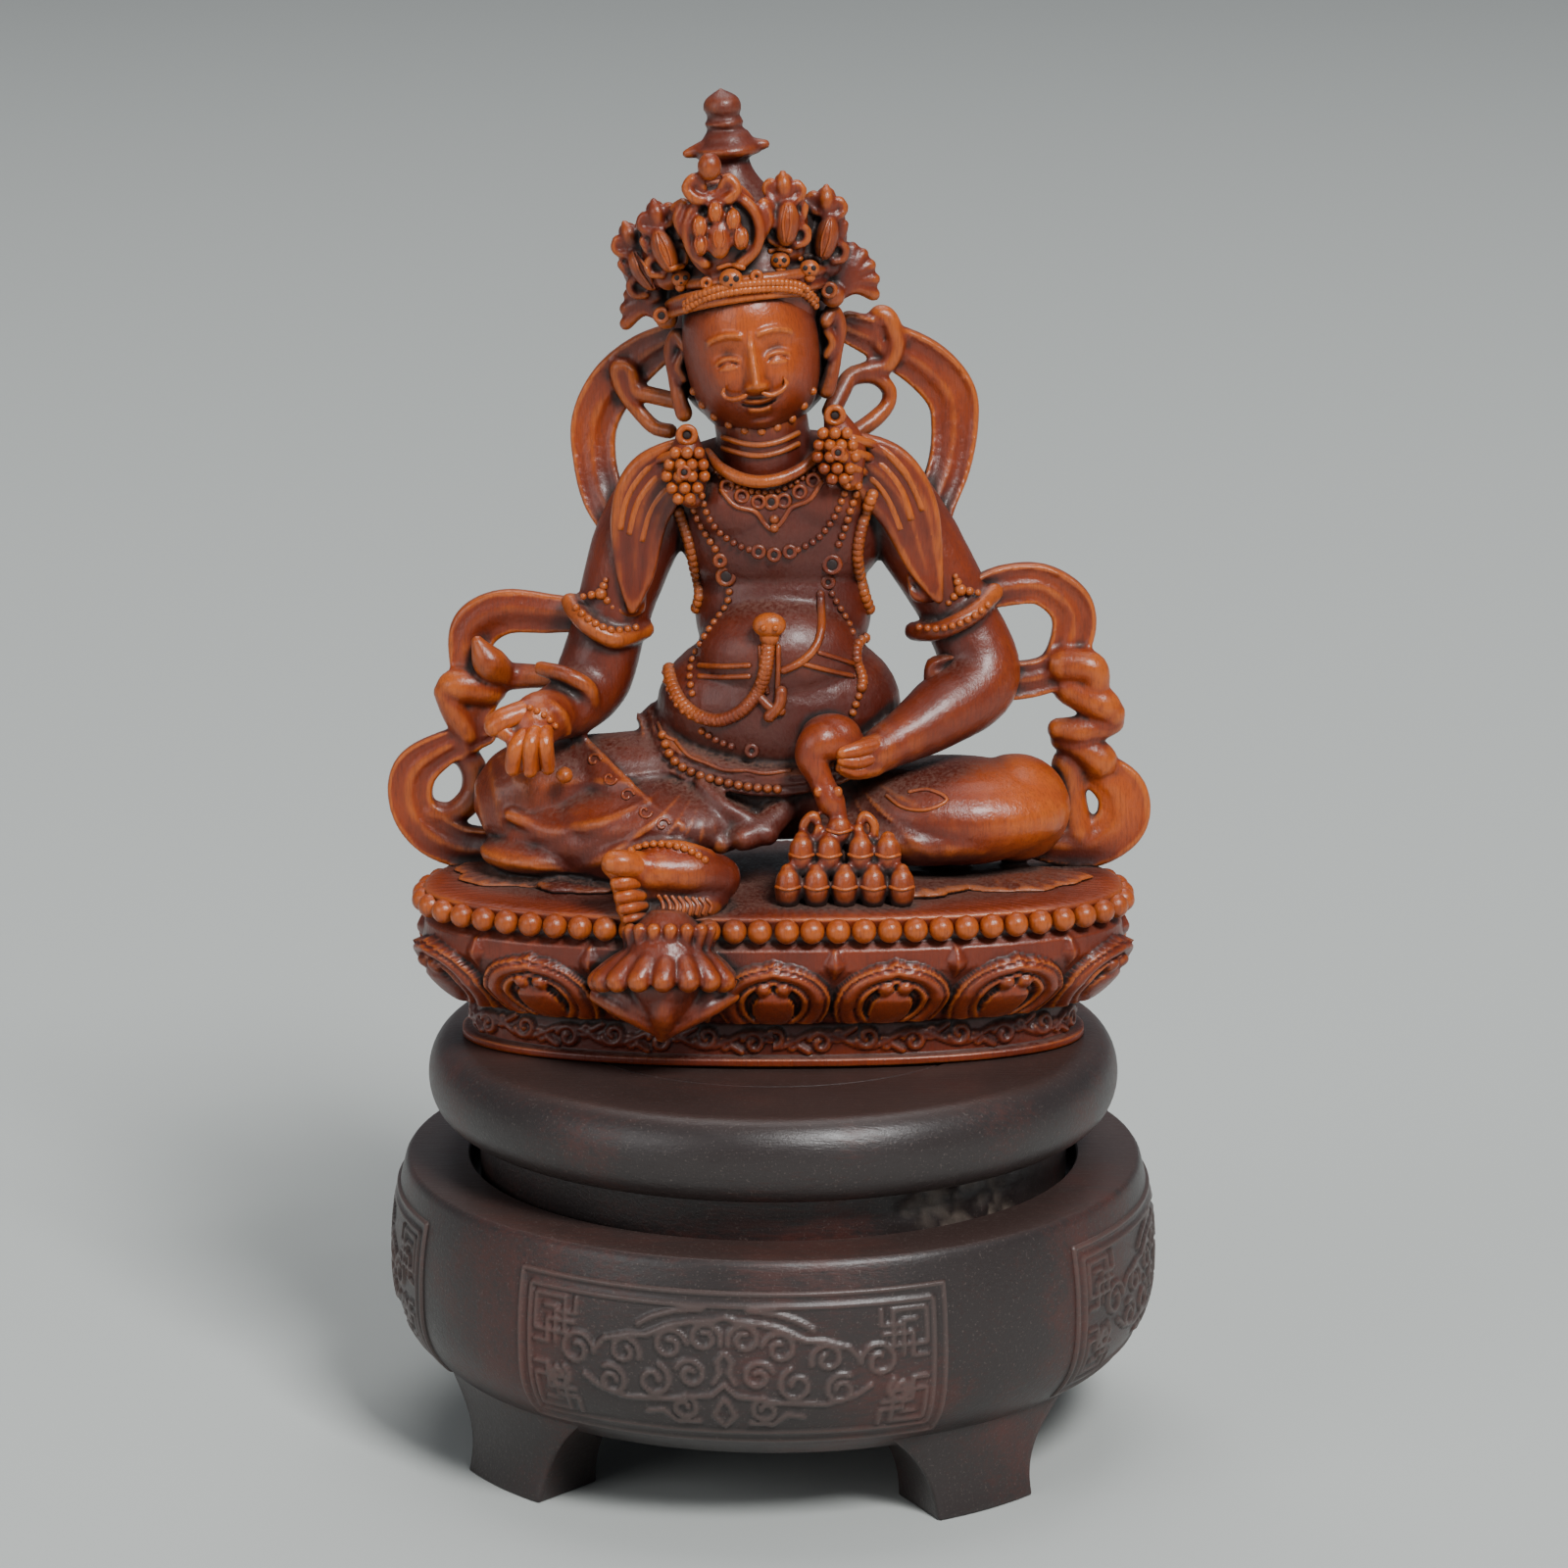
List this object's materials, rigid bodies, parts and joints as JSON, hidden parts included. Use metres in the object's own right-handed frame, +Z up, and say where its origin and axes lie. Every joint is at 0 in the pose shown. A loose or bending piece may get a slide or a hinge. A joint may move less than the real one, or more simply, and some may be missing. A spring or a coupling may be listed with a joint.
{
  "type": "jambhala statue",
  "caption": "Carved boxwood wealth deity seated on a lotus throne, on a turned round hardwood stand, as a shelf or altar figure.",
  "frame": {"origin": "on the floor under the middle of the round stand", "axes": "+Z up, the figure faces -Y, +X is to the viewer's right"},
  "size_m": [0.1242, 0.1242, 0.2175],
  "materials": {
    "boxwood": "satin",
    "disc_rosewood": "satin",
    "drum_rosewood": "satin"
  },
  "bodies": {
    "root": {"statue": "boxwood", "stand_disc": "disc_rosewood", "stand_drum": "drum_rosewood"}
  },
  "joints": []
}
